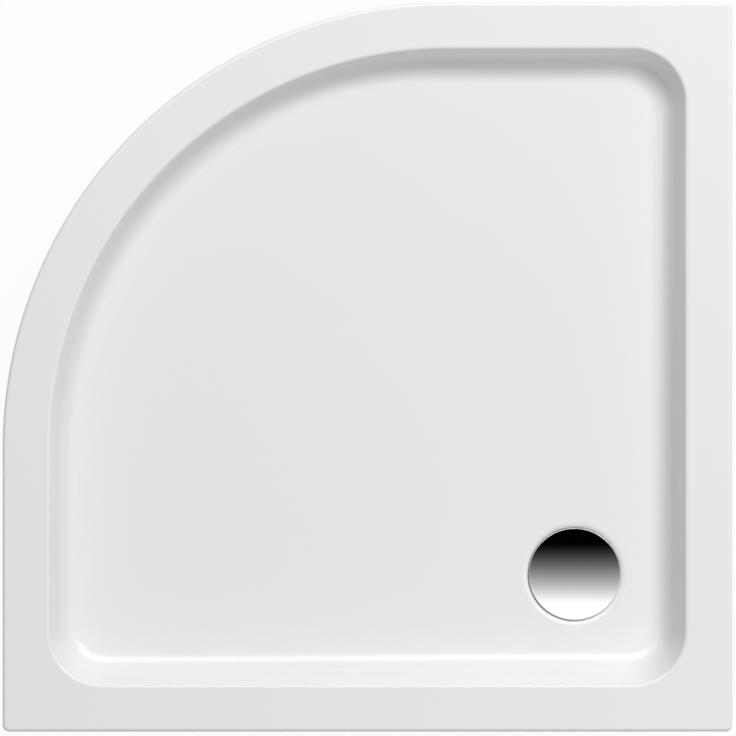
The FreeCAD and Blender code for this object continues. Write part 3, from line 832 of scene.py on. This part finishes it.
def cover_leg(sizes, number):
    """Short round-ended leg that stands on the flange."""
    bearing = math.tau * number / sizes.leg_count
    place = drain + sizes.leg_circle * towards(bearing)
    bottom = place + (flange_top + sizes.leg_gap) * UP
    mesh = bmesh.new()
    vert = mesh.verts.new(bottom)
    vert = line_to(mesh, vert, bottom + (sizes.leg_radius - sizes.leg_round) * ALONG_X)
    vert = arc_from(mesh, vert, vert.co + sizes.leg_round * UP, ALONG_Y, -QUARTER, LEG_END_STEPS)
    vert = line_to(mesh, vert, vert.co + (cover_high.z - sizes.crown - vert.co.z) * UP)
    line_to(mesh, vert, Vector((place.x, place.y, vert.co.z)))
    return spun(mesh, place, PIN_STEPS)


def drain_cover(sizes):
    """Dome, boss and short legs as one mesh."""
    mesh = cover_dome(sizes)
    absorb(mesh, cover_boss(sizes))
    for number in range(sizes.leg_count):
        absorb(mesh, cover_leg(sizes, number))
    return mesh


def hexagon(sizes, flats, bore, bottom, top):
    """Hexagon with a bore on the origin's upright axis, whose corners are turned off on both faces."""
    face_radius = sizes.face_share * flats / 2
    sixth = math.tau / 6
    mesh = bmesh.new()

    def reach(bearing):
        return flats / 2 / math.cos(bearing % sixth - sixth / 2)

    def turned_off(radius):
        return (radius - face_radius) * math.tan(sizes.face_chamfer)

    loop = circle(mesh, bottom * UP, bore, BORE_STEPS)
    for radius, height in (
        (face_radius, bottom),
        (reach, lambda radius: bottom + turned_off(radius)),
        (reach, lambda radius: top - turned_off(radius)),
        (face_radius, top),
        (bore, top),
        (bore, bottom),
    ):
        loop = ring(mesh, loop, around(ORIGIN, radius, height))
    closed(mesh)
    return mesh


def thread(sizes, bottom, top):
    """Thread of 60 degrees on the origin's upright axis, cut square below and chamfered at the top."""
    crest = sizes.thread_radius
    root = crest - sizes.thread_depth
    pitch = sizes.pitch
    root_flat = pitch / 4
    crest_flat = pitch / 8
    flank = (pitch - root_flat - crest_flat) / 2
    turns_cut_off = 2
    turns = math.ceil((top - bottom) / pitch) + turns_cut_off
    mesh = bmesh.new()
    vert = mesh.verts.new(root * ALONG_X + (bottom - pitch) * UP)
    for radius, rise in ((root, root_flat), (crest, flank), (crest, crest_flat), (root, flank)):
        vert = line_to(mesh, vert, radius * ALONG_X + (vert.co.z + rise) * UP)
    steps = THREAD_STEPS * turns
    carried(mesh, outline_of(mesh), steps, turn=math.tau * turns, shift=turns * pitch * UP)
    bmesh.ops.remove_doubles(mesh, verts=mesh.verts, dist=WELD)
    for height, direction in ((bottom, -UP), (top, UP)):
        everything = mesh.verts[:] + mesh.edges[:] + mesh.faces[:]
        bmesh.ops.bisect_plane(
            mesh, geom=everything, plane_co=height * UP, plane_no=direction, clear_outer=True
        )
    bmesh.ops.holes_fill(mesh, edges=open_edges(mesh))
    for vert in mesh.verts:
        radius = vert.co.to_2d().length
        allowed = crest - sizes.thread_chamfer + (top - vert.co.z)
        if radius > allowed:
            vert.co.xy *= allowed / radius
    closed(mesh)
    return mesh


def stud(sizes):
    """Threaded stud on the origin's upright axis, with a hexagon to turn it by, a neck and a ball."""
    low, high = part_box("leg_stud_" + leg_numbers[0])
    collar_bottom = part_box("foot_pad_" + leg_numbers[0])[1].z + sizes.collar_lift
    collar_top = collar_bottom + sizes.collar_height
    inside_collar = (collar_bottom + collar_top) / 2
    ball_turn = math.pi - math.asin(sizes.neck_radius / sizes.ball_radius)
    mesh = bmesh.new()
    vert = mesh.verts.new(low.z * UP)
    vert = arc_from(mesh, vert, vert.co + sizes.ball_radius * UP, ALONG_Y, -ball_turn, BALL_STEPS)
    vert = line_to(mesh, vert, vert.co + (inside_collar - vert.co.z) * UP)
    line_to(mesh, vert, inside_collar * UP)
    spun(mesh, ORIGIN, PIN_STEPS)
    absorb(mesh, hexagon(sizes, sizes.collar_flats, sizes.neck_radius / 2, collar_bottom, collar_top))
    absorb(mesh, thread(sizes, inside_collar, high.z))
    return mesh


def screw(sizes, bottom, top):
    """Wood screw on the origin's upright axis, with a domed head, a driving cross and a tapered tip."""
    head_top = bottom + sizes.head_height
    # A ring this small merges into a point
    pole = WELD / 10

    def cross(bearing):
        turn = abs((bearing + QUARTER / 2) % QUARTER - QUARTER / 2)
        end_of_arm = sizes.cross_length / math.cos(turn)
        side_of_arm = sizes.cross_width / 2 / max(math.sin(turn), WELD)
        return min(end_of_arm, side_of_arm)

    def cross_foot(bearing):
        return sizes.cross_taper * cross(bearing)

    def dome(step):
        turn = QUARTER * step / HEAD_STEPS
        radius = sizes.head_flat + (sizes.head_radius - sizes.head_flat) * math.cos(turn)
        fall = (sizes.head_height - sizes.head_edge) * math.sin(turn)
        return radius, head_top - sizes.head_edge - fall

    mesh = bmesh.new()
    loop = circle(mesh, top * UP, pole, PIN_STEPS)
    for radius, height in (
        (sizes.screw_radius, top - sizes.screw_tip),
        (sizes.screw_radius, head_top),
        (sizes.head_radius, head_top),
        *(dome(step) for step in range(HEAD_STEPS + 1)),
        (cross, bottom),
        (cross_foot, bottom + sizes.cross_depth),
        (pole, bottom + sizes.cross_depth),
    ):
        loop = ring(mesh, loop, around(ORIGIN, radius, height))
    closed(mesh)
    return mesh


def copied(mesh, place):
    """Copies a mesh from the origin to a place."""
    copy = mesh.copy()
    bmesh.ops.translate(copy, vec=place, verts=copy.verts)
    return copy


def grouped(mesh, places):
    """Copies a mesh to places, as one mesh."""
    group = bmesh.new()
    for place in places:
        absorb(group, copied(mesh, place))
    mesh.free()
    return group


def fit_studs(sizes, material):
    """Puts a stud in each leg."""
    model = stud(sizes)
    smoothed(model, HEXAGON_SHARP)
    for number, place in zip(leg_numbers, leg_places):
        mesh = copied(model, place)
        node = "leg_stud_" + number
        finished("threaded_stud_" + number, mesh, material, "stud_" + number, node)
    model.free()


def fit_nuts(sizes, material, node):
    """Puts a node's nuts on the studs."""
    low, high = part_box(node)
    model = hexagon(sizes, sizes.nut_flats, sizes.nut_bore, low.z, high.z)
    smoothed(model, HEXAGON_SHARP)
    mesh = grouped(model, leg_places)
    finished("turned_" + node, mesh, material, "tray", node)


def fit_screws(sizes, material):
    """Puts the screws in the sockets."""
    low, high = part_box("leg_screws")
    model = screw(sizes, low.z, high.z)
    smoothed(model, SCREW_SHARP)
    bearings = [math.tau * number / sizes.screw_count for number in range(sizes.screw_count)]
    spots = [sizes.screw_circle * towards(bearing) for bearing in bearings]
    mesh = grouped(model, [place + spot for place in leg_places for spot in spots])
    finished("cross_screws", mesh, material, "tray", "leg_screws")


class PieceOperator:
    """Settings that the operators of the tray share."""

    bl_options = {"REGISTER", "UNDO"}


class TRAY_OT_shell(PieceOperator, bpy.types.Operator):
    """Model the formed acrylic sheet"""

    bl_idname = "tray.shell"
    bl_label = "Acrylic shell"

    def execute(self, context):
        sizes = context.scene.tray_shell
        mesh = Shell(sizes).model()
        smoothed(mesh, sharpest=math.pi)
        material = acrylic_finish(context.scene.tray_colours)
        piece = finished("acrylic_shell", mesh, material, "tray", "tray_shell")
        wall = piece.modifiers.new("sheet", "SOLIDIFY")
        wall.thickness = sizes.sheet
        wall.offset = -1
        piece.modifiers.new("flats", "WEIGHTED_NORMAL").keep_sharp = True
        return {"FINISHED"}


class TRAY_OT_cover(PieceOperator, bpy.types.Operator):
    """Model the chromed drain cover"""

    bl_idname = "tray.cover"
    bl_label = "Drain cover"

    def execute(self, context):
        mesh = drain_cover(context.scene.tray_cover)
        smoothed(mesh, COVER_SHARP)
        material = chrome_finish(context.scene.tray_colours)
        finished("chrome_cover", mesh, material, "cover", "drain_cover")
        return {"FINISHED"}


class TRAY_OT_backing(PieceOperator, bpy.types.Operator):
    """Finish the laminate and the board under the pan"""

    bl_idname = "tray.backing"
    bl_label = "Backing and board"

    def execute(self, context):
        colours = context.scene.tray_colours
        paint(laminate_finish(colours), "backing_laminate")
        paint(board_finish(colours), "base_board")
        return {"FINISHED"}


class TRAY_OT_fasteners(PieceOperator, bpy.types.Operator):
    """Model the studs, nuts and screws of the legs"""

    bl_idname = "tray.fasteners"
    bl_label = "Studs, nuts and screws"

    def execute(self, context):
        sizes = context.scene.tray_fasteners
        material = zinc_finish(context.scene.tray_colours)
        fit_studs(sizes, material)
        for node in ("leg_nuts", "leg_lock_nuts"):
            fit_nuts(sizes, material, node)
        fit_screws(sizes, material)
        return {"FINISHED"}


class TRAY_OT_feet(PieceOperator, bpy.types.Operator):
    """Finish the sockets, pads and soles of the legs"""

    bl_idname = "tray.feet"
    bl_label = "Sockets and feet"

    def execute(self, context):
        colours = context.scene.tray_colours
        black = colours.black_plastic
        socket = moulded_finish("socket_plastic", black, roughness=0.40, grain_depth=0.00003)
        pad = moulded_finish("pad_plastic", black, roughness=0.46, grain_depth=0.00004)
        rubber = rubber_finish("sole_rubber", colours.rubber)
        for number in leg_numbers:
            paint(socket, "leg_socket_" + number)
            paint(pad, "foot_pad_" + number)
            paint(rubber, "foot_sole_" + number)
        return {"FINISHED"}


class TRAY_OT_waste(PieceOperator, bpy.types.Operator):
    """Finish the flange, trap, insert and outlet"""

    bl_idname = "tray.waste"
    bl_label = "Waste"

    def execute(self, context):
        colours = context.scene.tray_colours
        white = colours.white_plastic
        grey = colours.grey_plastic
        dark = colours.dark_plastic
        seal = rubber_finish("seal_rubber", colours.rubber)
        trap = moulded_finish("trap_plastic", white, roughness=0.34, grain_depth=0.00002)
        insert = moulded_finish("insert_plastic", grey, roughness=0.36, grain_depth=0.00002)
        union = moulded_finish("union_plastic", dark, roughness=0.38, grain_depth=0.00003)
        paint(stainless_finish(colours), "waste_flange")
        paint(seal, "flange_seal", "body_seal", "insert_seal", "outlet_seal")
        paint(trap, "trap_body", "outlet_spigot")
        paint(insert, "trap_insert", "drain_strainer")
        paint(union, "outlet_union")
        return {"FINISHED"}


def stage_floor(studio):
    """Plain pale floor that the camera sees as the white background with the tray's shadow on it."""
    mesh = bmesh.new()
    place = Matrix.Translation(-studio.floor_drop * UP)
    radius = studio.floor_radius
    bmesh.ops.create_circle(mesh, cap_ends=True, segments=FLOOR_STEPS, radius=radius, matrix=place)
    finish = Finish("floor")
    grey = (studio.floor_grey, studio.floor_grey, studio.floor_grey, 1)
    material = finish.surface(Base_Color=grey, Roughness=studio.floor_roughness)
    pale = Signal(finish, finish.tree.nodes["Principled BSDF"].outputs[0])
    clear = finish.add("ShaderNodeBsdfTransparent")
    seen = finish.add("ShaderNodeLightPath", output="Is Camera Ray")
    below = finish.add("ShaderNodeNewGeometry", output="Backfacing")
    share = seen * (studio.floor_clear + (1 - studio.floor_clear) * below)
    shown = finish.add("ShaderNodeMixShader", {}, {0: share, 1: pale, 2: clear})
    finish.plug(finish.tree.nodes["Material Output"].inputs["Surface"], shown)
    linked("floor", mesh, material)


def studio_world(studio):
    """White background, soft light, and the ceiling, walls and strip light that gloss mirrors."""
    world = bpy.data.worlds.new("studio")
    world.use_nodes = True
    bpy.context.scene.world = world
    nodes = Nodes(world.node_tree)
    direction = nodes.add("ShaderNodeTexCoord", output="Generated")
    axes = ("X", "Y", "Z")
    across, along, height = (
        nodes.add("ShaderNodeSeparateXYZ", {}, {0: direction}, axis) for axis in axes
    )
    soft = studio.overhead * height.between(0, 1) ** studio.overhead_curve
    soft = soft + studio.end_walls * along * along
    ceiling = studio.ceiling * along.between(*CEILING_FADE) ** studio.ceiling_curve
    overhead = height.between(*CEILING_EDGE)
    strip = height.between(*STRIP_FOOT) * height.between(*STRIP_HEAD) * along.between(*STRIP_BACK)
    strip = strip * across.between(*STRIP_LEFT) * across.between(*STRIP_RIGHT)
    strip = studio.strip * strip * (1 + studio.strip_ends * across * across)
    walls = studio.wall_foot + (studio.wall_top - studio.wall_foot) * height.between(*WALL_FADE)
    mirrored = overhead * ceiling + (1 - overhead) * walls + strip
    kinds = ("Camera", "Glossy", "Transmission")
    seen, glossy, clear = (nodes.add("ShaderNodeLightPath", output=f"Is {kind} Ray") for kind in kinds)
    strength = seen + (glossy + clear) * mirrored + (1 - seen - glossy - clear) * soft
    background = world.node_tree.nodes["Background"]
    nodes.plug(background.inputs["Color"], (1, 1, 1, 1))
    nodes.plug(background.inputs["Strength"], strength)


def softbox(studio):
    """One large soft light over the front and right, level from side to side."""
    light = bpy.data.lights.new("softbox", "AREA")
    light.shape = "RECTANGLE"
    light.size = studio.softbox_width
    light.size_y = studio.softbox_height
    light.energy = studio.softbox_power
    lamp = placed("softbox", light)
    away = Vector((math.tan(studio.softbox_aside), math.tan(studio.softbox_lean), 1)).normalized()
    lamp.location = shell_high.z * UP + studio.softbox_distance * away
    lamp.rotation_euler = (-studio.softbox_lean, 0, 0)
    lamp.visible_glossy = False


def photo_camera(studio):
    """Camera straight over the tray."""
    data = bpy.data.cameras.new("camera")
    data.lens = data.sensor_width * studio.camera_height / studio.view_width
    data.clip_end = studio.camera_reach
    camera = placed("camera", data)
    camera.location = (studio.camera_right, -studio.camera_back, shell_high.z + studio.camera_height)
    bpy.context.scene.camera = camera


class TRAY_OT_stage(PieceOperator, bpy.types.Operator):
    """Set the floor, the light and the camera"""

    bl_idname = "tray.stage"
    bl_label = "Stage"

    def execute(self, context):
        studio = context.scene.tray_studio
        stage_floor(studio)
        studio_world(studio)
        softbox(studio)
        photo_camera(studio)
        context.scene.view_settings.view_transform = "Standard"
        return {"FINISHED"}


class VIEW3D_PT_tray(bpy.types.Panel):
    """Lists the tray's pieces and sizes"""

    bl_label = "Shower tray"
    bl_space_type = "VIEW_3D"
    bl_region_type = "UI"
    bl_category = "Shower tray"

    def draw(self, context):
        for operator in operators:
            self.layout.operator(operator.bl_idname)
        for name in settings:
            group = getattr(context.scene, name)
            box = self.layout.box()
            for prop in group.bl_rna.properties:
                if not prop.is_readonly and prop.identifier != "name":
                    box.prop(group, prop.identifier)


settings = {
    "tray_shell": ShellSizes,
    "tray_cover": CoverSizes,
    "tray_fasteners": FastenerSizes,
    "tray_colours": TrayColours,
    "tray_studio": StudioSettings,
}
operators = (
    TRAY_OT_shell,
    TRAY_OT_cover,
    TRAY_OT_backing,
    TRAY_OT_fasteners,
    TRAY_OT_feet,
    TRAY_OT_waste,
    TRAY_OT_stage,
)
classes = (*settings.values(), *operators, VIEW3D_PT_tray)


def register():
    for cls in classes:
        bpy.utils.register_class(cls)
    for name, group in settings.items():
        setattr(bpy.types.Scene, name, PointerProperty(type=group))


def unregister():
    for name in settings:
        delattr(bpy.types.Scene, name)
    for cls in reversed(classes):
        bpy.utils.unregister_class(cls)


def main():
    register()
    bpy.ops.tray.shell()
    bpy.ops.tray.cover()
    bpy.ops.tray.backing()
    bpy.ops.tray.fasteners()
    bpy.ops.tray.feet()
    bpy.ops.tray.waste()
    bpy.ops.tray.stage()


if __name__ == "__main__":
    main()
